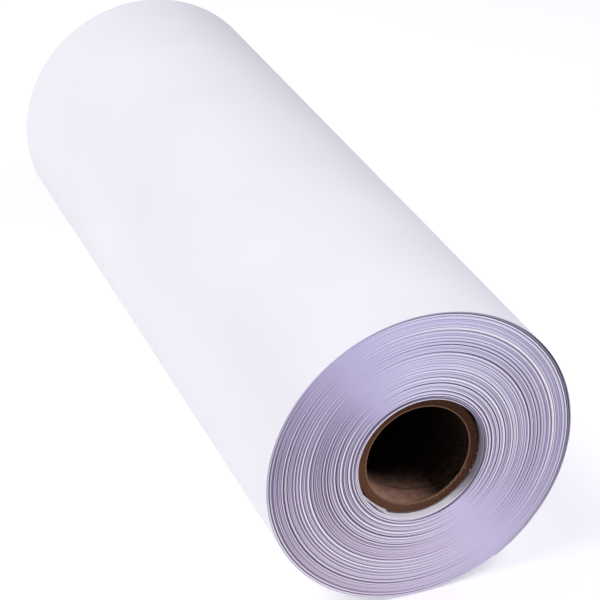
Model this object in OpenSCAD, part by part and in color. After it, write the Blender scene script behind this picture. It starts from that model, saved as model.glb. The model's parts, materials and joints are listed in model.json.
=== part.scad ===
// Roll of sign vinyl: a paper core of glued plies, a web of film on release liner wound round it,
// and a loose tail whose film peels from its liner.
// The axis lies along Y, the near end faces -Y, +Z is up, and the origin is on the axis at mid width.
// Clock angles are in degrees from the top, clockwise for someone looking along +Y.

/* [Roll] */
// Width of the web, which is the length of the roll
web_w = 610; // [200:1:1400]
// Outside diameter of the tightly wound roll
roll_d = 224; // [150:1:400]

/* [Core] */
// Bore of the core
bore_d = 76.2; // [50:0.1:80]
// Wall of the core, all seven plies together
core_wall = 6.35; // [3:0.05:9]
// How far each end of the core sits inside the end of the web
core_recess = 5; // [0.5:0.1:15]

/* [Web] */
// Film with its adhesive
film_t = 0.1; // [0.08:0.01:0.25]
// Paper release liner
liner_t = 0.14; // [0.1:0.01:0.3]
// Room between the core and the first turn, which was wound loosely
first_turn_gap = 1.8; // [1:0.1:4]

/* [Web start] */
// Clock angle of the edge where the web starts, on the core
start_clock = 212; // [185:1:300]
// Width of the double-sided tape that holds the start to the core
start_tape_w = 12; // [6:1:20]
// Thickness of that tape
start_tape_t = 0.1; // [0.05:0.01:0.2]

/* [Tail] */
// Clock angle at which the tail lifts off the roll
tail_clock = 72; // [60:1:90]
// Clock angle of the free edge of the tail
edge_clock = 148; // [125:1:150]
// How far the loose last turn stands off the roll, halfway to its free edge
loose_lift = 1; // [0.6:0.1:3]
// Length of film at the free edge that peels from the liner
peel_len = 38; // [20:1:60]

/* [Tabs] */
// Width of a tape tab, along the roll
tab_w = 25; // [12:1:50]
// Length of a tape tab that is stuck to the tail
tab_on_tail = 12; // [8:1:16]
// Length of a tape tab past the free edge
tab_past_edge = 20; // [16:1:30]
// Thickness of a tape tab
tab_t = 0.12; // [0.08:0.01:0.25]
// Distance of a tape tab from its end of the roll
tab_inset = 90; // [20:1:90]

/* [Clearances] */
// Room under the free edge of the tail
edge_gap = 0.3; // [0.2:0.05:0.6]
// Room under the peeling film and under the tabs
peel_gap = 0.3; // [0.2:0.05:0.6]
// Gap along the roll's skin where one sheet ends and the next begins
butt_gap = 0.5; // [0.3:0.1:1]

/* [Hidden] */

plies = 7;
ply_t = core_wall / plies;
core_len = web_w - 2 * core_recess;
bore_r = bore_d / 2;
core_r = bore_r + core_wall;

web_t = film_t + liner_t;
hole_r = core_r + first_turn_gap;
roll_r = roll_d / 2;
pack_r = roll_r - web_t;

// Radii of the last turn where it is tight; from the top to the free edge it stands off the roll.
film_r = pack_r + liner_t;
tip_r = film_r + peel_gap;

butt_deg = arc_deg(butt_gap, roll_r);
peel_clock = edge_clock - arc_deg(peel_len, tip_r);

// The web starts on the tape, follows the core over the tape and leaves it on a straight tangent.
start_r = core_r + start_tape_t;
tangent_clock = start_clock + arc_deg(start_tape_w, core_r);
tangent_deg = acos((start_r + web_t) / hole_r);

// Thin sheets are drawn with flat facets that share their clock angles, so stacked sheets meet face to
// face, and their radii are raised a little, so the middle of a facet touches the true circle.
facet = 2;
$fn = 360 / facet;
facet_rise = 1 / cos(facet / 2);
same_clock = 0.01;

// How far a cut runs past each face of what it cuts
cut_past = 1;

// A tab follows the film, slopes down to the roll in this length, and then follows the roll.
tab_r = tip_r + film_t;
tab_rest_r = roll_r + peel_gap;
tab_slope = 12;

film_color = "white";
liner_color = "lavender";
board_color = "peru";
tape_color = "gainsboro";

// Angle of an arc of a given length
function arc_deg(length, r) = length / r * 180 / PI;

// A point at a clock angle, in the plane across the roll
function clock_point(clock, r) = [r * sin(clock), r * cos(clock)];

// An even rise from 0 to 1
function ease(x) = let (u = min(max(x, 0), 1)) u * u * (3 - 2 * u);

// How far the last turn stands off the roll, at a clock angle past the top
function stand_off(clock) =
    let (u = min(clock / edge_clock, 1))
    loose_lift * pow(sin(180 * u), 2) + edge_gap * ease(u);

// A point of a sheet that lies on a circle
function sheet_point(clock, r) = clock_point(clock, r * facet_rise);

// A point of the last turn, which is tight up to a whole turn and loose past it
function last_turn_point(clock, r) =
    sheet_point(clock, clock <= 360 ? r : r + stand_off(clock - 360));

// A point of a tab, out of its inner face by a height
function tab_point(clock, out) =
    let (s = ease((clock - edge_clock) / arc_deg(tab_slope, roll_r)))
    sheet_point(clock, (1 - s) * (tab_r + stand_off(clock)) + s * tab_rest_r + out);

// The clock angles of a sheet's corners: both its ends, and every facet between them
function clocks(from, to) = [
    from,
    for (c = [ceil(from / facet) * facet : facet : to])
        if (c > from + same_clock && c < to - same_clock) c,
    to
];

// The same list from its end to its start
function reversed(list) = [for (i = [len(list) - 1 : -1 : 0]) list[i]];

// Extrudes a shape drawn across the roll, centred on the roll's width
module along_roll(length) {
    rotate([90, 0, 0]) linear_extrude(length, center = true) children();
}

// A strip between a line of inner points and a line of outer ones
module strip(inner, outer, length) {
    along_roll(length) polygon(concat(inner, reversed(outer)));
}

// A sheet of the loose last turn, from one clock angle to a later one
module loose_sheet(from, to, r, t) {
    at = clocks(from, to);
    inner = [for (c = at) sheet_point(c, r + stand_off(c))];
    outer = [for (c = at) sheet_point(c, r + stand_off(c) + t)];
    strip(inner, outer, web_w);
}

// A closed ring
module ring(r, t, length) {
    rotate([90, 0, 0])
        difference() {
            cylinder(h = length, r = r + t, center = true);
            cylinder(h = length + 2 * cut_past, r = r, center = true);
        }
}

// One ply of the core, numbered from the bore outwards
module core_ply(index) {
    color(board_color) ring(bore_r + (index - 1) * ply_t, ply_t, core_len);
}

module start_tape() {
    at = clocks(start_clock, tangent_clock);
    inner = [for (c = at) sheet_point(c, core_r)];
    outer = [for (c = at) sheet_point(c, start_r)];
    color(tape_color) strip(inner, outer, core_len);
}

// Follows the tape, then runs straight to the inside of the first turn
module web_start() {
    at = clocks(start_clock, tangent_clock);
    rise = 1 / cos(tangent_deg);
    last = tangent_clock + tangent_deg;
    inner = [for (c = at) sheet_point(c, start_r), sheet_point(last, start_r * rise)];
    outer = [for (c = at) sheet_point(c, start_r + web_t), sheet_point(last, (start_r + web_t) * rise)];
    color(film_color) strip(inner, outer, web_w);
}

module innermost_turn() {
    color(film_color) ring(hole_r, web_t, web_w);
}

module wound_web() {
    color(liner_color) ring(hole_r + web_t, pack_r - hole_r - web_t, web_w);
}

// One sheet of the last turn: tight from the free edge round to the top, then loose
module outer_turn(r, t) {
    at = clocks(edge_clock + butt_deg, 360 + tail_clock);
    strip([for (c = at) last_turn_point(c, r)], [for (c = at) last_turn_point(c, r + t)], web_w);
}

module outer_turn_liner() {
    color(liner_color) outer_turn(pack_r, liner_t);
}

module outer_turn_film() {
    color(film_color) outer_turn(film_r, film_t);
}

module tail_liner() {
    color(liner_color) loose_sheet(tail_clock + butt_deg, edge_clock, pack_r, liner_t);
}

module tail_film() {
    color(film_color) loose_sheet(tail_clock + butt_deg, peel_clock, film_r, film_t);
}

module film_tip() {
    color(film_color) loose_sheet(peel_clock + butt_deg, edge_clock, tip_r, film_t);
}

// side is -1 at the near end and 1 at the far end
module tail_tab(side) {
    from = edge_clock - arc_deg(tab_on_tail, roll_r);
    to = edge_clock + arc_deg(tab_past_edge, roll_r);
    at = [for (c = clocks(from, edge_clock)) c, for (c = clocks(edge_clock, to)) if (c > edge_clock) c];
    color(tape_color)
        translate([0, side * (web_w / 2 - tab_inset - tab_w / 2), 0])
            strip([for (c = at) tab_point(c, 0)], [for (c = at) tab_point(c, tab_t)], tab_w);
}

core_ply(1);  // core_inner_ply
core_ply(2);  // core_ply_2
core_ply(3);  // core_ply_3
core_ply(4);  // core_ply_4
core_ply(5);  // core_ply_5
core_ply(6);  // core_ply_6
core_ply(plies);  // core_outer_ply
start_tape();
web_start();
innermost_turn();
wound_web();
outer_turn_liner();
outer_turn_film();
tail_liner();
tail_film();
film_tip();
tail_tab(-1);  // tail_tab_near
tail_tab(1);  // tail_tab_far
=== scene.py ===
# %% [markdown]
# # A roll of sign vinyl
# The roll is a paper core, one long web of white film on its release liner, and a loose tail.
# The CAD model gives every size and every joint, so this script only gives the pieces their looks.
# It loads that model first, because everything here is placed by it. Lengths are in metres, the roll's
# axis is Y, its near end faces -Y, and +Z is up.

# %% Load the frame
import json
import math

import bpy
import numpy as np
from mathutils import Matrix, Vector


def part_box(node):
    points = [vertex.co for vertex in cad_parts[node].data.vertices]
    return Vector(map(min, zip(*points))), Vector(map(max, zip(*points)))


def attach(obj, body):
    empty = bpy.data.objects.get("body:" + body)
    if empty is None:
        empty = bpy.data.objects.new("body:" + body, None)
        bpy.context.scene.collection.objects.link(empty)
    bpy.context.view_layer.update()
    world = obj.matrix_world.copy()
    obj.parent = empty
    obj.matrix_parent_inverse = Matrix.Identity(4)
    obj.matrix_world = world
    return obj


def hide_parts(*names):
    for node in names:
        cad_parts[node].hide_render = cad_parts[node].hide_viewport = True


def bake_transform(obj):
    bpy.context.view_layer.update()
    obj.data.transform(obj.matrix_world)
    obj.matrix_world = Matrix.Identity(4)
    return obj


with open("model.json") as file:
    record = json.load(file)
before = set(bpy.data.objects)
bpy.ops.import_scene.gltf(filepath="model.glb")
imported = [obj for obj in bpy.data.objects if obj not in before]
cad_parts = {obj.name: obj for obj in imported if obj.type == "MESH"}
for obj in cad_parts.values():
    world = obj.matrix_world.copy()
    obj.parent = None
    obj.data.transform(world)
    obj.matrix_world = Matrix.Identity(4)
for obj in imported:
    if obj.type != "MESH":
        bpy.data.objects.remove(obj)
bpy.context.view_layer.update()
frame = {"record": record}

# %% [markdown]
# ## Sizes
# A roll is described by radii, and by clock angles: degrees from the top, clockwise for someone who
# looks along +Y. The radii come from the CAD model's boxes. A round node's mesh has a corner exactly
# at +X, so that side of its box is its true radius. Sheet thicknesses and clock angles are the ones
# that the CAD model was drawn with.

# %% Sizes of the roll
MM = 0.001


def radius_of(node):
    """The outer radius of a round node."""
    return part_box(node)[1][0]


bore = next(m for m in frame["record"]["mounts"] if m["name"] == "core_bore")
bore_r = bore["dims"]["r_mm"] * MM
core_half = bore["dims"]["length_mm"] * MM / 2
core_r = radius_of("core_outer_ply")
pack_r = radius_of("wound_web")
web_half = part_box("wound_web")[1][1]

film_t = 0.10 * MM
liner_t = 0.14 * MM
web_t = film_t + liner_t
hole_r = radius_of("innermost_turn") - web_t
roll_r = pack_r + web_t
start_tape_t = 0.1 * MM

start_clock = 212
start_tape_w = 12 * MM
tail_clock = 72
edge_clock = 148
loose_lift = 1 * MM
peel_len = 38 * MM
peel_gap = 0.3 * MM
edge_gap = 0.3 * MM
butt_gap = 0.5 * MM


def arc_deg(length, r):
    """The angle of an arc of that length."""
    return math.degrees(length / r)


def clock_point(clock, r):
    """(x, z) at a clock angle."""
    a = math.radians(clock)
    return r * math.sin(a), r * math.cos(a)


def ease(x):
    """An even rise from 0 to 1."""
    u = min(max(x, 0), 1)
    return u * u * (3 - 2 * u)


print(f"roll {2 * roll_r / MM:.1f} mm across, {2 * web_half / MM:.0f} mm wide, bore {2 * bore_r / MM:.1f} mm")

# %% [markdown]
# ## The camera
# The view is a long lens, a good way off, looking down on the near end from its left. It is set by
# four facts: how far the lens points to the right of the axis and down, how far away the near end is,
# and where the end's centre sits in the view. All of them are in roll radii, so the view keeps its
# framing if the roll changes size.

# %% Camera
camera_data = bpy.data.cameras.new("camera")
camera_data.sensor_width = 36
camera_data.lens = 124.5
camera_data.clip_end = 20
camera = bpy.data.objects.new("camera", camera_data)
bpy.context.scene.collection.objects.link(camera)
bpy.context.scene.camera = camera

view_turn = math.radians(21.4)
view_pitch = math.radians(28.98)
end_depth, end_right, end_down = 12.482, 0.730, 0.959

forward = np.array([math.sin(view_turn) * math.cos(view_pitch),
                    math.cos(view_turn) * math.cos(view_pitch),
                    -math.sin(view_pitch)])
right = np.array([math.cos(view_turn), -math.sin(view_turn), 0])
up = np.cross(right, forward)
near_centre = np.array([0, -web_half, 0])
camera.location = near_centre - roll_r * (end_depth * forward + end_right * right - end_down * up)
camera.rotation_euler = (math.pi / 2 - view_pitch, 0, -view_turn)
print("camera at", [round(float(c), 3) for c in camera.location])

# %% [markdown]
# ## A shorthand for node trees
# Geometry trees and shader trees both do sums with Math nodes. Writing `a * b + c` is far easier to
# read than placing those nodes one by one, so a small class wraps a socket and adds the right node
# for each sign.

# %% Shorthand for sums in node trees
class Field:
    """A socket of a node tree that can be added, multiplied and compared."""

    def __init__(self, tree, socket):
        self.tree = tree
        self.socket = socket

    def math(self, operation, *others):
        node = self.tree.nodes.new("ShaderNodeMath")
        node.operation = operation
        for slot, value in zip(node.inputs, (self, *others)):
            connect(self.tree, value, slot)
        return Field(self.tree, node.outputs[0])

    def __add__(self, other):
        return self.math("ADD", other)

    def __sub__(self, other):
        return self.math("SUBTRACT", other)

    def __mul__(self, other):
        return self.math("MULTIPLY", other)

    def __truediv__(self, other):
        return self.math("DIVIDE", other)


def connect(tree, value, slot):
    """Sets a slot to a Field, a socket or a plain value."""
    if isinstance(value, Field):
        value = value.socket
    if isinstance(value, bpy.types.NodeSocket):
        tree.links.new(value, slot)
    else:
        slot.default_value = value


def node(tree, kind, settings=None, **inputs):
    """Adds a node, with its settings and its inputs by name."""
    made = tree.nodes.new(kind)
    for key, value in (settings or {}).items():
        setattr(made, key, value)
    for key, value in inputs.items():
        connect(tree, value, made.inputs[key.replace("_", " ")])
    return made


def noise_1d(tree, where, scale, detail, seed):
    """Smooth noise from -1 to 1 along one number."""
    made = node(tree, "ShaderNodeTexNoise", {"noise_dimensions": "1D"},
                W=where + seed, Scale=scale, Detail=detail)
    return (Field(tree, made.outputs[0]) - 0.5) * 2


def noise_3d(tree, vector, scale, detail=2.0, roughness=0.5):
    """Smooth noise from 0 to 1 in space."""
    made = node(tree, "ShaderNodeTexNoise", {"noise_dimensions": "3D"}, Vector=vector,
                Scale=scale, Detail=detail, Roughness=roughness)
    return Field(tree, made.outputs[0])


# %% [markdown]
# ## Finishes
# Every finish starts from Blender's Principled shader. Patterns read Object coordinates, which are
# the model's own metres, so the grain keeps its true size wherever a piece is seen from. Colours are
# given the way a screen shows them and turned into linear light by a helper.

# %% Helpers for finishes
def screen(r, g, b):
    """A colour given as screen values from 0 to 255, in linear light."""
    def linear(c):
        c = c / 255
        return c / 12.92 if c <= 0.04045 else ((c + 0.055) / 1.055) ** 2.4
    return linear(r), linear(g), linear(b), 1.0


def finish(name, roughness, specular):
    """A new material with its tree, its shader and its Object coordinates."""
    material = bpy.data.materials.new(name)
    material.use_nodes = True
    tree = material.node_tree
    shader = tree.nodes["Principled BSDF"]
    shader.inputs["Specular IOR Level"].default_value = specular
    connect(tree, roughness, shader.inputs["Roughness"])
    return material, tree, shader, tree.nodes.new("ShaderNodeTexCoord").outputs["Object"]


def stretched(tree, vector, scale):
    """Coordinates scaled by a different amount along each axis."""
    return node(tree, "ShaderNodeMapping", Vector=vector, Scale=scale).outputs[0]


def blend_colour(tree, factor, first, second):
    """Goes from the first colour to the second as factor goes from 0 to 1."""
    made = tree.nodes.new("ShaderNodeMix")
    made.data_type = "RGBA"
    connect(tree, factor, made.inputs["Factor"])
    connect(tree, first, made.inputs["A"])
    connect(tree, second, made.inputs["B"])
    return made.outputs["Result"]


def spread(tree, value, low, high, to_low=0.0, to_high=1.0):
    """Stretches the range low to high of a value over another range, and clamps it."""
    made = node(tree, "ShaderNodeMapRange", {"clamp": True}, Value=value)
    for key, number in (("From Min", low), ("From Max", high), ("To Min", to_low), ("To Max", to_high)):
        made.inputs[key].default_value = number
    return Field(tree, made.outputs[0])


def relief(tree, shader, height, distance, strength):
    """Bends the shading by a height from 0 to 1, which is distance high."""
    made = node(tree, "ShaderNodeBump", Height=height, Distance=distance, Strength=strength)
    tree.links.new(made.outputs[0], shader.inputs["Normal"])


def from_axis(tree, place):
    """A point's distance from the axis, its distance from mid width, and its direction from the axis."""
    parts = node(tree, "ShaderNodeSeparateXYZ", Vector=place)
    x, y, z = (Field(tree, parts.outputs[key]) for key in "XYZ")
    radius = (x * x + z * z).math("SQRT")
    return radius, y.math("ABSOLUTE"), (x / radius, z / radius)


def towards(direction, clock):
    """From -1 to 1, how nearly a direction from the axis points to a clock angle."""
    x, z = clock_point(clock, 1)
    return direction[0] * x + direction[1] * z


def attribute(tree, name):
    """A number that a piece stores on its own points."""
    made = tree.nodes.new("ShaderNodeAttribute")
    made.attribute_name = name
    return Field(tree, made.outputs["Fac"])


def tell(*materials):
    """Prints how many nodes each finish is made of."""
    for material in materials:
        print("finish", material.name, "of", len(material.node_tree.nodes), "nodes")


# %% [markdown]
# ### The face of the film
# Calendered vinyl is matt white with a breath of blue. Up close it has a fine pebble from the
# calender rolls, and over a hand's width its gloss drifts a little where it was handled. Two noises
# make the pebble and the drift.

# %% Film finish
def film_finish():
    material, tree, shader, place = finish("matt_white_film", 0.55, 0.15)
    drift = noise_3d(tree, place, 9, 3)
    pebble = noise_3d(tree, place, 1500, 2)
    colour = blend_colour(tree, spread(tree, drift, 0.35, 0.65), screen(228, 227, 231), screen(231, 230, 234))
    tree.links.new(colour, shader.inputs["Base Color"])
    connect(tree, spread(tree, drift, 0.3, 0.7, 0.5, 0.56), shader.inputs["Roughness"])
    relief(tree, shader, pebble, 0.02 * MM, 0.35)
    return material


film_white = film_finish()
tell(film_white)

# %% [markdown]
# ### The liner
# Release liner is smooth siliconed paper, a shade greyer and glossier than the film's back. Paper
# fibres give it a faint cloudiness. The first turn gets a brighter copy of the paper, which is painted
# light for the bright band that it shows inside the roll's end, and on the side away from the tape it
# is darkened, painted shade in the gap beside the core.

# %% Liner finish
def liner_finish(name, darker, bright, side_shade=0.0):
    material, tree, shader, place = finish(name, 0.38, 0.5)
    cloud = noise_3d(tree, place, 260, 4, 0.6)
    _, _, direction = from_axis(tree, place)
    first_tone = blend_colour(tree, cloud, darker, bright)
    # painted shade: the paper darkens on its right side, towards the gap beside the core
    towards_shaded_side = towards(direction, 95)
    painted_side_shade = spread(tree, towards_shaded_side + (cloud - 0.5) * 0.15, 0.55, 0.9) * side_shade
    colour = blend_colour(tree, painted_side_shade, first_tone, screen(92, 80, 92))
    tree.links.new(colour, shader.inputs["Base Color"])
    relief(tree, shader, cloud, 0.03 * MM, 0.3)
    return material


liner_paper = liner_finish("siliconed_paper", screen(222, 218, 230), screen(234, 231, 240))
# a brighter copy of the liner paper, painted light for the first turn, with painted shade on its right side
lit_and_shaded_paper = liner_finish("lit_and_shaded_paper", screen(248, 246, 253), screen(252, 250, 255), 0.75)
tell(liner_paper, lit_and_shaded_paper)

# %% [markdown]
# ### The stacked edges
# The end of the roll shows the cut edges of film and liner, about 270 pairs of them. Each
# pair carries two numbers from the tree that winds it: `layer` runs from the liner side to the film
# side of one turn, and `ring` says how far that turn stands out. Turns that sit back are painted deep
# violet, painted shade for the light lost between their neighbours, and turns that stand out are
# painted nearly white, a painted highlight. Where the turns lie level the end is one even lavender, so
# the colour has three stops and not two. The two flanks of the end are painted darker, the left one
# most, and its top and its foot are left pale, with a warm tinge at the foot: a painted sheen that
# goes by the direction from the axis, so it stays with the roll when the roll turns.

# %% Edge finish
def edge_finish():
    material, tree, shader, place = finish("stacked_edges", 0.55, 0.4)
    layer = attribute(tree, "layer")
    ring = attribute(tree, "ring")
    cloud = noise_3d(tree, place, 30, 3)
    _, _, direction = from_axis(tree, place)
    # painted shade and sheen: the flanks are painted darker, the left one most, and the foot paler and warmer
    flank = towards(direction, 88)
    darker = flank * flank * 0.8 - flank * 0.2 + (cloud - 0.5) * 0.25
    first_tone = blend_colour(tree, spread(tree, darker, 0.0, 1.0), screen(209, 202, 236), screen(126, 106, 150))
    painted_foot_sheen = spread(tree, towards(direction, 200), 0.1, 1.0) * 0.4
    level = blend_colour(tree, painted_foot_sheen, first_tone, screen(216, 190, 204))
    # painted shade where a turn sits back, painted highlight where it stands out
    with_groove_shade = blend_colour(tree, spread(tree, ring, -1.0, 0.0), screen(56, 38, 70), level)
    with_lip_light = blend_colour(tree, spread(tree, ring, 0.0, 1.05), with_groove_shade, screen(252, 249, 254))
    film_share = spread(tree, layer, 0.55, 0.62)
    with_film = blend_colour(tree, film_share * 0.12, with_lip_light, screen(228, 224, 242))
    tree.links.new(with_film, shader.inputs["Base Color"])
    relief(tree, shader, noise_3d(tree, place, 2600, 2), 0.02 * MM, 0.4)
    return material


edge_lavender = edge_finish()
tell(edge_lavender)

# %% [markdown]
# ### The core board
# Kraft board is brown with darker and paler fibres that lie along the strip it was cut from. Inside,
# the bore is painted near black, painted shade deep in the tube. Near its mouths, on the lower left,
# it is a paler brown: partly a scuff where the shaft bore on it and partly a painted pool of light
# where the lamp in front reaches in. The sawn ends are a middle brown with pale torn flecks, with
# painted shade towards the upper right and a painted highlight along the inner rim.

# %% Core finish
def board_finish():
    material, tree, shader, place = finish("kraft_board", 0.9, 0.06)
    fibre = noise_3d(tree, stretched(tree, place, (1, 0.35, 1)), 900, 4, 0.65)
    mottle = noise_3d(tree, place, 160, 4, 0.6)
    fleck = noise_3d(tree, place, 2200, 2)
    radius, along, direction = from_axis(tree, place)
    # painted shade: the bore inside is painted near black
    bore_board_and_shade = blend_colour(tree, spread(tree, mottle, 0.3, 0.7), screen(21, 13, 9), screen(33, 22, 15))
    # a paler brown near the mouths on the lower left, partly a scuff and partly a painted pool of light
    scuff_and_lit_colour = blend_colour(tree, spread(tree, mottle, 0.3, 0.7), screen(160, 120, 102), screen(184, 142, 122))
    mouth_scuff_and_light = spread(tree, along + (mottle - 0.5) * (6 * MM), core_half - 46 * MM, core_half - 12 * MM)
    bearing_and_lit_side = spread(tree, towards(direction, 222) + (mottle - 0.5) * 0.2, 0.38, 1.0)
    scuff_and_lit_patch = mouth_scuff_and_light * bearing_and_lit_side
    base = blend_colour(tree, scuff_and_lit_patch, bore_board_and_shade, scuff_and_lit_colour)
    pale_fibre = spread(tree, fibre, 0.45, 0.72) * (scuff_and_lit_patch * 0.24 + 0.06)
    tone = blend_colour(tree, pale_fibre, base, screen(176, 146, 120))
    dark = blend_colour(tree, spread(tree, fleck, 0.62, 0.72) * 0.5, tone, screen(46, 32, 25))
    cut = spread(tree, along, core_half - 0.9 * MM, core_half - 0.5 * MM)
    # painted shade: the sawn ends darken towards the upper right
    shaded = spread(tree, towards(direction, 50), -0.8, 0.9)
    end_tone = blend_colour(tree, shaded, screen(92, 60, 44), screen(64, 39, 28))
    sawn = blend_colour(tree, cut * 0.94, dark, end_tone)
    torn = cut * spread(tree, noise_3d(tree, place, 1100, 3, 0.7), 0.56, 0.68) * 0.55
    flecked = blend_colour(tree, torn, sawn, screen(150, 112, 84))
    # painted highlight along the inner rim of the sawn ends
    rim = cut * spread(tree, radius, bore_r + 1.1 * MM, bore_r + 0.5 * MM) * 0.6
    rim_lit = blend_colour(tree, rim, flecked, screen(142, 110, 86))
    tree.links.new(rim_lit, shader.inputs["Base Color"])
    relief(tree, shader, fibre, 0.25 * MM, 0.7)
    return material


kraft = board_finish()
tell(kraft)

# %% [markdown]
# ### Tape
# The tabs are frosted office tape and the start tape is a thin double-sided one. Both are nearly
# white once they lie on white film, with a satin face and a fine grain.

# %% Tape finishes
def tape_finish(name, pale, darker, roughness):
    material, tree, shader, place = finish(name, roughness, 0.5)
    grain = noise_3d(tree, place, 1200, 3)
    streak = noise_3d(tree, stretched(tree, place, (1, 12, 1)), 60, 2)
    colour = blend_colour(tree, streak, darker, pale)
    tree.links.new(colour, shader.inputs["Base Color"])
    relief(tree, shader, grain, 0.02 * MM, 0.3)
    return material


frosted_tape = tape_finish("frosted_tape", screen(236, 238, 238), screen(222, 225, 226), 0.33)
mounting_tape = tape_finish("mounting_tape", screen(232, 226, 205), screen(220, 212, 190), 0.4)
tell(frosted_tape, mounting_tape)

# %% [markdown]
# ## Winding a strip
# The web and the plies of the core are all strips wound round the axis, so they share one way of
# being made. A straight line becomes as many points as the winding has steps, and a four-cornered
# profile runs along it. The tube that comes out has its corners in a known order, so every corner can
# then be moved to its true place by a sum of its number. That is exact, fast and closed at both ends.

# %% A tree that starts a strip
CORNERS = 4


def new_tree(name, **sizes):
    """An empty geometry tree with named number inputs, and its input node."""
    tree = bpy.data.node_groups.new(name, "GeometryNodeTree")
    for title, default in sizes.items():
        socket = tree.interface.new_socket(title, in_out="INPUT", socket_type="NodeSocketFloat")
        socket.default_value = default
    tree.interface.new_socket("Geometry", in_out="OUTPUT", socket_type="NodeSocketGeometry")
    start = tree.nodes.new("NodeGroupInput")
    return tree, {title: Field(tree, start.outputs[title]) for title in sizes}


def raw_strip(tree, steps):
    """A closed tube with four corners at each step, its step, and 1 on its outer and far corners."""
    line = node(tree, "GeometryNodeCurvePrimitiveLine", End=(0, 0, 1))
    along = node(tree, "GeometryNodeResampleCurve", Curve=line.outputs[0], Count=steps + 1)
    profile = node(tree, "GeometryNodeCurvePrimitiveQuadrilateral")
    tube = node(tree, "GeometryNodeCurveToMesh", Curve=along.outputs[0],
                Profile_Curve=profile.outputs[0], Fill_Caps=True)
    index = Field(tree, tree.nodes.new("GeometryNodeInputIndex").outputs[0])
    step = (index / CORNERS).math("FLOOR")
    corner = index - step * CORNERS
    outer = (corner - 1.5).math("ABSOLUTE").math("LESS_THAN", 1)
    far = corner.math("GREATER_THAN", 1.5)
    return tube.outputs[0], step, outer, far


def put_corners(tree, geometry, angle, radius, y):
    """Moves every corner to its clock angle in radians, radius and place along the roll."""
    place = node(tree, "ShaderNodeCombineXYZ", X=radius * angle.math("SINE"), Y=y,
                 Z=radius * angle.math("COSINE"))
    return node(tree, "GeometryNodeSetPosition", Geometry=geometry, Position=place.outputs[0]).outputs[0]


def store(tree, geometry, name, value):
    """Keeps a number on every corner, for the finish to read."""
    made = node(tree, "GeometryNodeStoreNamedAttribute", {"data_type": "FLOAT", "domain": "POINT"},
                Geometry=geometry, Name=name, Value=value)
    return made.outputs[0]


def end_tree(tree, geometry, material):
    """Realizes the geometry, gives it its material and ends the tree."""
    real = node(tree, "GeometryNodeRealizeInstances", Geometry=geometry)
    painted = node(tree, "GeometryNodeSetMaterial", Geometry=real.outputs[0], Material=material)
    tree.links.new(painted.outputs[0], tree.nodes.new("NodeGroupOutput").inputs[0])


# %% [markdown]
# ### From a tree to a piece
# A tree needs an object to run on. An empty one lends itself, its result is copied into a plain mesh,
# and the empty one is removed, so no piece keeps a live modifier. Only faces that meet at an angle
# keep a crisp edge, and a winding that came out inside out is turned.

# %% Growing a piece
def smooth_with_edges(mesh, sharp_deg=35):
    """Smooth shading that stays crisp where faces meet at an angle."""
    mesh.shade_smooth()
    mesh.set_sharp_from_angle(angle=math.radians(sharp_deg))


def grow(name, tree, **sizes):
    """Runs a tree with the given sizes and keeps its result as a plain mesh object."""
    seed_object = bpy.data.objects.new(name + "_seed", bpy.data.meshes.new(name + "_seed"))
    bpy.context.scene.collection.objects.link(seed_object)
    modifier = seed_object.modifiers.new("grow", "NODES")
    modifier.node_group = tree
    sockets = {s.name: s.identifier for s in tree.interface.items_tree if s.in_out == "INPUT"}
    for title, value in sizes.items():
        modifier[sockets[title]] = float(value)
    evaluated = seed_object.evaluated_get(bpy.context.evaluated_depsgraph_get())
    mesh = bpy.data.meshes.new_from_object(evaluated)
    bpy.data.objects.remove(seed_object)
    mesh.name = name
    smooth_with_edges(mesh)
    return add_piece(name, mesh)


def add_piece(name, mesh):
    """A new object at the origin, with its place in its mesh."""
    piece = bpy.data.objects.new(name, mesh)
    bpy.context.scene.collection.objects.link(piece)
    return piece


def outward(mesh):
    """Turns the faces outwards, if most of them point in."""
    mesh.calc_loop_triangles()
    points = np.array([v.co for v in mesh.vertices])
    corners = points[np.array([t.vertices[:] for t in mesh.loop_triangles])]
    volume = np.einsum("ij,ij->i", corners[:, 0], np.cross(corners[:, 1], corners[:, 2])).sum() / 6
    if volume < 0:
        mesh.flip_normals()


# %% [markdown]
# ## The wound web
# The body of the roll is one strip, wound on itself about 270 times. It could be faked
# with a disc and a bump map, but then the rings would be paint. Wound for real, every turn has its
# own edge, and the edges wander in and out of line the way a slitter and a winder leave them. The
# wander is a sum of a few waves, each some turns long, and a little scatter from turn to turn. It is
# greatest next to the core. The web also tilts a little as it wanders, so a turn that stands out on
# one side sits back on the other, and halfway between the two the end is level. The first turns dip
# where the web starts, because they bridge the step of its edge, and a few turns under the skin one
# gap stands open on the upper right. The innermost turns are slack and sag to the lower left. A seam
# sits back between them and the tight turns, further out where they sag, and the slack turns inside
# it stand out. How far a turn stands out also sets its colour in the edge finish, so beside their
# real relief the rings carry painted shade and light: the gap and the seam are painted dark and the
# slack turns inside the seam are painted pale.

# %% Tree for the wound web
SEGMENTS = 80
full_turn = 2 * math.pi
WAVES = [(1.0, 0.66), (0.79, 0.56), (0.64, 0.36), (1.45, 0.55), (1.93, 0.7)]    # how often, how strong
SCATTER_SHARE = 0.35              # how far each turn strays on its own
GAP_NARROW, GAP_DEPTH = 0.8, 2    # the open gap under the skin
DIP_NARROW, DIP_FADE = 28, 0.13   # the dip over the web's start, round the roll and from turn to turn
SEAM_TURN, SEAM_SAG = 6.5, 5      # turns from the core to the seam, and how much further out it sags
SEAM_NARROW, SEAM_DEPTH = 0.07, 1.25
SLACK_RISE, SLACK_MOST = 0.1, 0.55    # how far the slack turns inside the seam stand out


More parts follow.
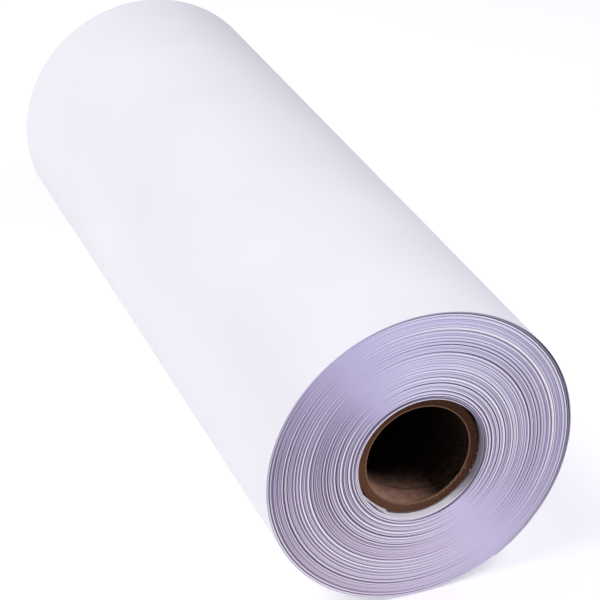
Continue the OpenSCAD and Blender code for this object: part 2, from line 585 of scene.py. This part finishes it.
def wound_web_tree(steps):
    tree, size = new_tree("wound_web_tree", Start=0.0, Inner=0.0, Pitch=0.0, Half=0.0, Depth=0.0,
                          Band=8.7, Tilt=0.0, Gap=0.0, SagAt=0.0, Dip=0.0, DipAt=0.0, Seed=3.0)
    geometry, step, outer, far = raw_strip(tree, steps)
    turn = step / SEGMENTS
    angle = size["Start"] + turn * full_turn

    off_dip = ((angle - size["DipAt"]).math("COSINE") - 1) * DIP_NARROW
    dip = size["Dip"] * off_dip.math("EXPONENT") * (turn * -DIP_FADE).math("EXPONENT")
    radius = size["Inner"] + size["Pitch"] * (turn + outer) - dip

    side_seed = size["Seed"] + far * 50
    drift = noise_1d(tree, turn / size["Band"] + side_seed, 0.9, 1, 5) * 0.3
    phase = (turn / size["Band"] + side_seed + drift) * full_turn
    strength = (noise_1d(tree, phase, 0.13, 0, 9) * 0.5 + 0.9).math("MAXIMUM", 0.3)
    by_core = (turn * -0.02).math("EXPONENT") * 0.6 + 0.85
    scatter = noise_1d(tree, turn + side_seed, 1.3, 0, 21)
    wander = scatter * SCATTER_SHARE
    for often, amount in WAVES:
        wander = wander + (phase * often).math("SINE") * amount
    tilt = (angle - size["Tilt"]).math("COSINE")
    from_gap = turn - size["Gap"]
    open_gap = (from_gap * from_gap * -GAP_NARROW).math("EXPONENT") * tilt
    past_seam = turn - (angle - size["SagAt"]).math("COSINE") * SEAM_SAG - SEAM_TURN
    seam = (past_seam * past_seam * -SEAM_NARROW).math("EXPONENT") * SEAM_DEPTH
    slack = (past_seam * -SLACK_RISE).math("MAXIMUM", 0).math("MINIMUM", SLACK_MOST)
    # ring moves each turn's edge, and the edge finish also paints it: painted shade where it sits back,
    # painted light where it stands out
    ring = wander * strength * by_core * tilt + scatter * 0.05
    ring = ring - open_gap.math("MAXIMUM", 0) * GAP_DEPTH - seam + slack
    inset = (size["Depth"] * (ring * -0.5 + 0.8)).math("MAXIMUM", 0.02 * MM)
    y = (size["Half"] - inset) * (far * 2 - 1)

    geometry = put_corners(tree, geometry, angle, radius, y)
    geometry = store(tree, geometry, "layer", outer)
    geometry = store(tree, geometry, "ring", ring)
    end_tree(tree, geometry, edge_lavender)
    return tree


# %% [markdown]
# ### Winding it
# The strip has to start where the first turn ends and stop under the free edge. So the number of
# turns is a whole number and the part between those two clock angles, and the pitch is what is left
# of the radius, shared out evenly.

# %% Wound web
first_turn_top = hole_r + web_t
butt_deg = arc_deg(butt_gap, roll_r)
web_end_clock = edge_clock + butt_deg
tangent_clock = start_clock + arc_deg(start_tape_w, core_r)
start_r = core_r + start_tape_t
tangent_deg = math.degrees(math.acos((start_r + web_t) / hole_r))

turns_wanted = (pack_r - web_t - first_turn_top) / web_t
lead_end_clock = tangent_clock + tangent_deg
part_turn = ((web_end_clock - lead_end_clock) / 360) % 1
wound_steps = round((round(turns_wanted - part_turn) + part_turn) * SEGMENTS)
web_from_clock = web_end_clock - wound_steps * 360 / SEGMENTS
wound_pitch = (pack_r - web_t - first_turn_top) / (wound_steps / SEGMENTS)

web = grow("wound_web_turns", wound_web_tree(wound_steps), Start=math.radians(web_from_clock % 360),
           Inner=first_turn_top, Pitch=wound_pitch, Half=web_half, Depth=0.45 * MM,
           Tilt=math.radians(57), Gap=wound_steps / SEGMENTS - 5.5,
           SagAt=math.radians(225), Dip=0.8 * MM, DipAt=math.radians(lead_end_clock - 6))
outward(web.data)
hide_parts("wound_web")
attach(web, "roll")
web_length = math.pi * (pack_r ** 2 - first_turn_top ** 2) / wound_pitch
print(f"{wound_steps / SEGMENTS:.1f} turns of {wound_pitch / MM:.3f} mm, about {web_length:.0f} m of web,",
      len(web.data.polygons), "faces")

# %% [markdown]
# ## Sheets along a path
# The first turn, the last turn and the tail are single sheets whose faces show, so they need more
# points across the width than the stacked turns do. A small function takes the path that the sheet's
# inner face follows, given as a function of the clock angle, and builds a closed skin of the right
# thickness across the whole width.

# %% A sheet along a path
POINTS_ACROSS = 33
NUDGE = 0.05    # degrees to either side, to find which way a path runs


def even(start, stop, count):
    """count numbers from start to stop."""
    return np.linspace(start, stop, count)


def grid_faces(rows, columns, offset, flip):
    """Faces of a grid of points that starts at offset."""
    faces = []
    for i in range(rows - 1):
        for j in range(columns - 1):
            a = offset + i * columns + j
            face = (a, a + 1, a + columns + 1, a + columns)
            faces.append(face[::-1] if flip else face)
    return faces


def sheet(name, clocks, path, thickness, material, half=None):
    """A closed skin. path(clock) gives the (x, z) of its inner face."""
    half = web_half if half is None else half
    ys = even(-half, half, POINTS_ACROSS)
    line = np.array([path(c) for c in clocks])
    ahead = np.array([path(c + NUDGE) for c in clocks]) - np.array([path(c - NUDGE) for c in clocks])
    ahead /= np.linalg.norm(ahead, axis=1)[:, None]
    normal = np.column_stack([-ahead[:, 1], ahead[:, 0]])
    points = []
    for out in (0.0, thickness):
        for at, away in zip(line, normal):
            for y in ys:
                points.append((at[0] + away[0] * out, y, at[1] + away[1] * out))
    rows, columns = len(clocks), len(ys)
    layer = rows * columns
    faces = grid_faces(rows, columns, 0, True) + grid_faces(rows, columns, layer, False)
    rim = [i * columns for i in range(rows)]
    rim += [(rows - 1) * columns + j for j in range(1, columns)]
    rim += [i * columns + columns - 1 for i in range(rows - 2, -1, -1)]
    rim += [j for j in range(columns - 2, 0, -1)]
    for a, b in zip(rim, rim[1:] + rim[:1]):
        faces.append((a, b, b + layer, a + layer))
    mesh = bpy.data.meshes.new(name)
    mesh.from_pydata(points, [], faces)
    mesh.materials.append(material)
    mesh.update()
    outward(mesh)
    smooth_with_edges(mesh, 40)
    return add_piece(name, mesh)


# %% [markdown]
# ## The start of the web
# The web starts stuck to the core. It follows the core over the tape, leaves it on a straight
# tangent, and becomes the first turn, which is wound loosely and so stands off the core. That
# straight stretch is the flat that shows inside the bright first turn. Film and liner are one sheet
# here, with the paper side in.

# %% Start tape and first turn
def first_turn_path(clock):
    """Inner face of the web from its start to the end of its first turn."""
    along_tangent = max(clock - tangent_clock, 0)
    if along_tangent < tangent_deg:
        return clock_point(clock, start_r / math.cos(math.radians(along_tangent)))
    risen = (clock - tangent_clock - tangent_deg) / (lead_stop - tangent_clock - tangent_deg)
    join = start_r / math.cos(math.radians(tangent_deg))
    settle = min(risen * 10, 1)
    return clock_point(clock, join + (hole_r - join) * settle + web_t * risen)


lead_stop = web_from_clock % 360 + 360
while lead_stop < tangent_clock + tangent_deg + 180:
    lead_stop += 360

first_turn_t = web_t * 0.96    # a little less, so that it shares no face with the turn outside it
first_turn = sheet("first_turn", even(start_clock, lead_stop, 200), first_turn_path, first_turn_t,
                   lit_and_shaded_paper)
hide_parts("web_start", "innermost_turn")
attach(first_turn, "roll")

tape = sheet("start_tape_strip", even(start_clock - 2, tangent_clock - 0.5, 12),
             lambda c: clock_point(c, core_r), start_tape_t, mounting_tape, core_half)
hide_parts("start_tape")
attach(tape, "roll")
print("first turn runs from clock", start_clock, "to", round(lead_stop, 1))

# %% [markdown]
# ## The last turn and the tail
# The outside of the roll is the web's last turn. It lies tight from where the free edge crosses it,
# under the roll and up the left side to the top. From the top on it is loose: it stands off the roll
# most halfway to its free edge and comes back to it there, so a thin dark gap opens down the right
# side and closes again. Film and liner are separate sheets, because the film peels. Both have a
# still part and a tail, and the film has a free end too, which peels. They are
# cut a little before each bend, where nothing moves against its neighbour.

# %% Path of the last turn
loose_clock = 360


def stand_off(clock):
    """How far the last turn stands off the roll, at a clock angle past the top."""
    u = min(clock / edge_clock, 1)
    return loose_lift * math.sin(math.pi * u) ** 2 + edge_gap * ease(u)


def last_turn_r(clock):
    """Inner radius of the last turn, which climbs one thickness in one turn."""
    return pack_r - web_t + web_t * min((clock - web_end_clock) / 360, 1)


def last_turn_path(out):
    """The path of a face of the last turn that lies out from its inner face."""
    def path(clock):
        r = last_turn_r(clock) + out
        if clock <= loose_clock:
            return clock_point(clock, r)
        return clock_point(clock, r + stand_off(clock - loose_clock))
    return path


tail_bend_deg = 24
peel_bend_deg = 8
cut_before_tail = 36    # degrees from each cut to the hinge after it
cut_before_peel = 9
cut_clock = 360 + tail_clock - cut_before_tail
free_clock = 360 + edge_clock
peel_clock = free_clock - arc_deg(peel_len, roll_r)
peel_cut_clock = peel_clock - cut_before_peel


def at_clock(clock):
    """The point of the last turn at a clock angle, at mid width."""
    x, z = last_turn_path(0)(clock)
    return x, 0.0, z


def bend_span(start, length_deg):
    """Both ends of a bend that begins on its hinge."""
    return at_clock(start), at_clock(start + length_deg)


print("last turn from clock", round(web_end_clock, 1), "to", free_clock, "peels from", round(peel_clock, 1))

# %% [markdown]
# ### The liner, its still part and its tail
# The liner carries the film, so it lies inside it. Its still part ends a little before the tail's
# hinge, and its tail runs on from there to the free edge.

# %% Liner of the last turn and the tail
still_liner = sheet("last_turn_liner", even(web_end_clock, cut_clock, 170), last_turn_path(0), liner_t,
                    liner_paper)
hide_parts("outer_turn_liner")
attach(still_liner, "roll")

tail_liner = sheet("tail_liner_sheet", even(cut_clock, free_clock, 90), last_turn_path(0), liner_t,
                   liner_paper)
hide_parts("tail_liner")
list(bend_span(360 + tail_clock, tail_bend_deg))
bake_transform(tail_liner)
print("liner", len(still_liner.data.polygons), "faces still,", len(tail_liner.data.polygons), "in its tail")

# %% [markdown]
# ### The film, its tail and its free end
# The film is the white face of the roll. It follows the liner, and over its last stretch it stands a
# hair off it, as an edge does that has been picked at. That stretch is a piece of its own, because it
# peels.

# %% Film of the last turn, the tail and the free end
def film_path(clock):
    """Inner face of the film, which lifts a little off the liner towards its free edge."""
    return last_turn_path(liner_t + peel_gap * ease((clock - peel_clock) / 3))(clock)


still_film = sheet("last_turn_film", even(web_end_clock, cut_clock, 170), film_path, film_t, film_white)
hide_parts("outer_turn_film")
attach(still_film, "roll")

tail_film = sheet("tail_film_sheet", even(cut_clock, peel_cut_clock, 70), film_path, film_t, film_white)
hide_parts("tail_film")
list(bend_span(360 + tail_clock, tail_bend_deg))
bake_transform(tail_film)

film_end = sheet("film_free_end", even(peel_cut_clock, free_clock, 50), film_path, film_t, film_white)
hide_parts("film_tip")
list(bend_span(peel_clock, peel_bend_deg))
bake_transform(film_end)
print("tail of", round(math.radians(free_clock - 360 - tail_clock) * roll_r / MM), "mm, film peels over",
      round(peel_len / MM), "mm")

# %% [markdown]
# ### Flat sizes of the loose pieces
# The three loose pieces were flat stock before they were laid on the roll, as wide as the web and as
# long as the path that they follow. The turns under them are wound tight and belong to the roll.

def path_length(path, start, stop):
    """Length of a path between two clock angles."""
    points = np.array([path(c) for c in even(start, stop, 200)])
    return float(np.linalg.norm(np.diff(points, axis=0), axis=1).sum())


for loose, path, start, stop in [(tail_liner, last_turn_path(0), cut_clock, free_clock),
                                 (tail_film, film_path, cut_clock, peel_cut_clock),
                                 (film_end, film_path, peel_cut_clock, free_clock)]:
    length = path_length(path, start, stop)
    print(f"{loose.name}: {2 * web_half / MM:.0f} by {length / MM:.0f} mm flat")

# %% [markdown]
# ## The core
# A paper core is made of narrow strips of board, each wound in a helix with its edges butted and
# glued on the strip inside it. The butt of the innermost strip is the curved line that shows in the
# bore. Seven plies are wound here by one tree, each with its own start, so the butts never line up.
# The ends are cut by a saw, which leaves them flush but a little rough, so noise moves the cut.

# %% Tree for a ply
PLY_SEGMENTS = 96
TEETH_ROUND = 40    # waves of the saw's cut in one turn
plies = 7
ply_t = (core_r - bore_r) / plies
lead = 110 * MM


def ply_tree(steps):
    tree, size = new_tree("core_ply_tree", Inner=0.0, Thickness=0.0, Half=0.0, Lead=0.0, Phase=0.0,
                          Gap=0.0, Rough=0.0, Seed=1.0)
    geometry, step, outer, far = raw_strip(tree, steps)
    turn = step / PLY_SEGMENTS
    angle = size["Phase"] + turn * full_turn
    edge = size["Lead"] * (turn - 1) + far * (size["Lead"] - size["Gap"]) - size["Half"]
    around = angle / full_turn
    rough = noise_1d(tree, around * TEETH_ROUND, 1.0, 3, size["Seed"]) * size["Rough"]
    limit = size["Half"] - rough.math("ABSOLUTE")
    y = edge.math("MINIMUM", limit).math("MAXIMUM", limit * -1)
    radius = size["Inner"] + size["Thickness"] * outer
    geometry = put_corners(tree, geometry, angle, radius, y)
    end_tree(tree, geometry, kraft)
    return tree


# %% [markdown]
# ### Seven plies
# One tree winds them all, each a little further out and turned on from the one inside it. Only the
# innermost butt is seen, so it gets the widest gap.

# %% Plies of the core
seam_at_mouth = 118
turned_on = 137    # degrees from one ply's butt to the next
bore_butt = 2.2 * MM
hidden_butt = 0.4 * MM
pressed = 0.985    # a ply's share of its room, so that no two share a face
ply_steps = math.ceil((2 * core_half / lead + 1) * PLY_SEGMENTS)
one_ply = ply_tree(ply_steps)
ply_nodes = ["core_inner_ply", "core_ply_2", "core_ply_3", "core_ply_4", "core_ply_5", "core_ply_6",
             "core_outer_ply"]
for number, name in enumerate(ply_nodes):
    ply = grow(name + "_strip", one_ply, Inner=bore_r + number * ply_t, Thickness=ply_t * pressed,
               Half=core_half, Lead=lead, Phase=math.radians(seam_at_mouth + turned_on * number),
               Gap=bore_butt if number == 0 else hidden_butt, Rough=0.3 * MM, Seed=5.0 * number + 1)
    outward(ply.data)
    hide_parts(name)
    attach(ply, "roll")
print(plies, "plies of", round(ply_t / MM, 2), "mm, each", len(ply.data.polygons), "faces")

# %% [markdown]
# ## Torn fibres and crumbs
# The saw leaves ragged fibres along the lower right of the bore's rim, and a few crumbs of film and
# glue sit in the gap beside the core. Both are far too many and too small to place by hand. One tree
# scatters thin cones or chips along an arc: each point draws its clock angle, radius and turn from
# random values with a fixed seed, and both ends of the core get their share.

# %% Tree for scattered bits
def random_value(tree, low, high, seed):
    """A random number for each point."""
    made = node(tree, "FunctionNodeRandomValue", {"data_type": "FLOAT"})
    for slot in made.inputs:
        if slot.enabled and slot.name in ("Min", "Max", "Seed"):
            connect(tree, {"Min": low, "Max": high, "Seed": seed}[slot.name], slot)
    return Field(tree, next(slot for slot in made.outputs if slot.enabled))


def scatter_tree(count, bit, material):
    tree, size = new_tree("scatter_tree", From=0.0, To=0.0, Inner=0.0, Outer=0.0, Half=0.0, Length=0.0,
                          Width=0.0)
    points = node(tree, "GeometryNodeMeshLine", Count=count)
    clock = random_value(tree, size["From"], size["To"], 11)
    radius = random_value(tree, size["Inner"], size["Outer"], 12)
    near_or_far = random_value(tree, -1, 1, 13).math("SIGN")
    place = node(tree, "ShaderNodeCombineXYZ", X=radius * clock.math("SINE"),
                 Y=near_or_far * size["Half"], Z=radius * clock.math("COSINE"))
    put = node(tree, "GeometryNodeSetPosition", Geometry=points.outputs[0], Position=place.outputs[0])
    turned = node(tree, "ShaderNodeCombineXYZ", X=random_value(tree, 0, full_turn, 14),
                  Y=random_value(tree, 0, full_turn, 15), Z=random_value(tree, 0, full_turn, 16))
    if bit == "fibre":
        shape = node(tree, "GeometryNodeMeshCone", {"fill_type": "NGON"}, Vertices=5)
        for title, value in (("Radius Top", size["Width"] * 0.15), ("Radius Bottom", size["Width"]),
                             ("Depth", size["Length"])):
            connect(tree, value, shape.inputs[title])
    else:
        extent = node(tree, "ShaderNodeCombineXYZ", X=size["Length"], Y=size["Length"] * 0.7, Z=size["Width"])
        shape = node(tree, "GeometryNodeMeshCube", Size=extent.outputs[0])
    copies = node(tree, "GeometryNodeInstanceOnPoints", Points=put.outputs[0], Instance=shape.outputs[0],
                  Rotation=turned.outputs[0], Scale=random_value(tree, 0.4, 1.0, 17))
    end_tree(tree, copies.outputs[0], material)
    return tree


# %% [markdown]
# ### Fibres on the rim, crumbs beside the core
# One tree makes both, with its own count, arc and sizes for each. Torn board is paler than its skin,
# so the fibres get a finish of their own. The crumbs are paper and film, and take the liner's.

# %% Fibres and crumbs
def fibre_finish():
    material, tree, shader, place = finish("torn_board", 0.9, 0.2)
    streak = noise_3d(tree, place, 700, 2)
    colour = blend_colour(tree, streak, screen(120, 88, 64), screen(214, 186, 158))
    tree.links.new(colour, shader.inputs["Base Color"])
    return material


fibres = grow("torn_fibres", scatter_tree(260, "fibre", fibre_finish()), From=math.radians(112),
              To=math.radians(172), Inner=bore_r - 0.2 * MM, Outer=bore_r + 1.6 * MM, Half=core_half,
              Length=1.5 * MM, Width=0.13 * MM)
crumbs = grow("film_crumbs", scatter_tree(16, "chip", liner_paper), From=math.radians(84),
              To=math.radians(128), Inner=core_r + 0.3 * MM, Outer=core_r + 1.4 * MM, Half=core_half,
              Length=0.9 * MM, Width=0.25 * MM)
for bits, slot in ((fibres, "core_board"), (crumbs, "wound_edge")):
    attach(bits, "roll")
    print(bits.name, len(bits.data.polygons), "faces")

# %% [markdown]
# ## Tape tabs
# Two short pieces of office tape hold the free edge of a stored roll. The teeth of the dispenser
# leave a zigzag at both ends of a piece. Each tab follows the film, steps down over the free edge and
# then follows the roll, and it rides on the film's free end, because that is what it stays stuck to.

# %% Tape tabs
tab_w = 25 * MM
tab_on_tail = 12 * MM
tab_past_edge = 20 * MM
tab_t = 0.12 * MM
tab_inset = 90 * MM
tab_slope = 12 * MM
tab_clearance = 0.02 * MM
tooth = 1.6 * MM
NEAR_ENDS_ONLY = 6    # the power that keeps the teeth off the middle of a tab


def tab_path(clock):
    """Inner face of a tab."""
    s = ease((clock - free_clock) / arc_deg(tab_slope, roll_r))
    on_film = roll_r + peel_gap + stand_off(clock - loose_clock) + tab_clearance
    return clock_point(clock, (1 - s) * on_film + s * (roll_r + peel_gap))


def tape_tab(name, middle):
    first = free_clock - arc_deg(tab_on_tail, roll_r)
    last = free_clock + arc_deg(tab_past_edge, roll_r)
    tab = sheet(name, even(first, last, 40), tab_path, tab_t, frosted_tape, tab_w / 2)
    for v in tab.data.vertices:
        clock = math.degrees(math.atan2(v.co.x, v.co.z)) % 360 + 360
        zigzag = abs((v.co.y / tooth) % 1 - 0.5) * tooth
        to_end = 1 - 2 * (clock - first) / (last - first)
        turn = zigzag * to_end * min(1, abs(to_end)) ** NEAR_ENDS_ONLY / roll_r
        x, z = v.co.x, v.co.z
        v.co.x = x * math.cos(turn) + z * math.sin(turn)
        v.co.z = z * math.cos(turn) - x * math.sin(turn)
        v.co.y += middle
    return tab


for name, side in (("tail_tab_near", -1), ("tail_tab_far", 1)):
    middle = side * (web_half - tab_inset - tab_w / 2)
    tab = tape_tab(name + "_tape", middle)
    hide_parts(name)
    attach(tab, "peel_edge")
    print(tab.name, round(tab_w / MM), "mm wide, its middle at", round(middle / MM, 1), "mm")

# %% [markdown]
# ## The floor
# The roll lies on a plain pale floor, a white sheet with some light coming up through it, as on a
# light table, so its shadow stays faint.

# %% Floor
floor_mesh = bpy.data.meshes.new("floor")
reach = 6.0
floor_mesh.from_pydata([(-reach, -reach, -roll_r), (reach, -reach, -roll_r), (reach, reach, -roll_r),
                        (-reach, reach, -roll_r)], [], [(0, 1, 2, 3)])
floor = add_piece("floor", floor_mesh)
floor_finish, floor_tree, floor_shader, floor_place = finish("pale_floor", 0.9, 0.1)
floor_cloud = noise_3d(floor_tree, floor_place, 3)
floor_tone = blend_colour(floor_tree, floor_cloud, (0.93, 0.93, 0.935, 1), (0.95, 0.95, 0.955, 1))
floor_tree.links.new(floor_tone, floor_shader.inputs["Base Color"])
floor_shader.inputs["Emission Color"].default_value = (1, 1, 1, 1)
floor_shader.inputs["Emission Strength"].default_value = 0.2
floor_mesh.materials.append(floor_finish)
print("floor", 2 * reach, "m square at", round(-roll_r, 4))

# %% [markdown]
# ## Light
# A long soft light stands high on the left and makes that side of the film the brightest. A smaller
# one in front and to the upper right grazes the end, which draws its rings, and reaches only the
# lower left of the bore's mouth. The surround is a dim violet white.

# %% Lights
def soft_light(name, place, along, across, power, colour=(1, 1, 1)):
    """An area light at place, aimed at the near half of the roll."""
    data = bpy.data.lights.new(name, "AREA")
    data.shape = "RECTANGLE"
    data.size = along
    data.size_y = across
    data.energy = power
    data.color = colour
    light = bpy.data.objects.new(name, data)
    bpy.context.scene.collection.objects.link(light)
    light.location = place
    aim = np.array([0, -web_half / 2, 0]) - np.array(place)
    tipped = math.acos(-aim[2] / np.linalg.norm(aim))
    turned = math.atan2(aim[1], aim[0]) - math.pi / 2
    light.rotation_euler = (tipped, 0, turned)
    print("light", name, power, "W")


world = bpy.data.worlds.new("white_tent")
world.use_nodes = True
surround = world.node_tree.nodes["Background"]
surround.inputs["Color"].default_value = (0.955, 0.94, 1.12, 1)
surround.inputs["Strength"].default_value = 0.42
bpy.context.scene.world = world
bpy.context.scene.view_settings.view_transform = "Standard"

soft_light("left_bank", (-1.68, 0.3, 2.2), 3.6, 2.0, 58, (1.0, 0.99, 0.93))
soft_light("end_graze", (0.72, -0.86, 1.3), 0.45, 0.45, 8.4)
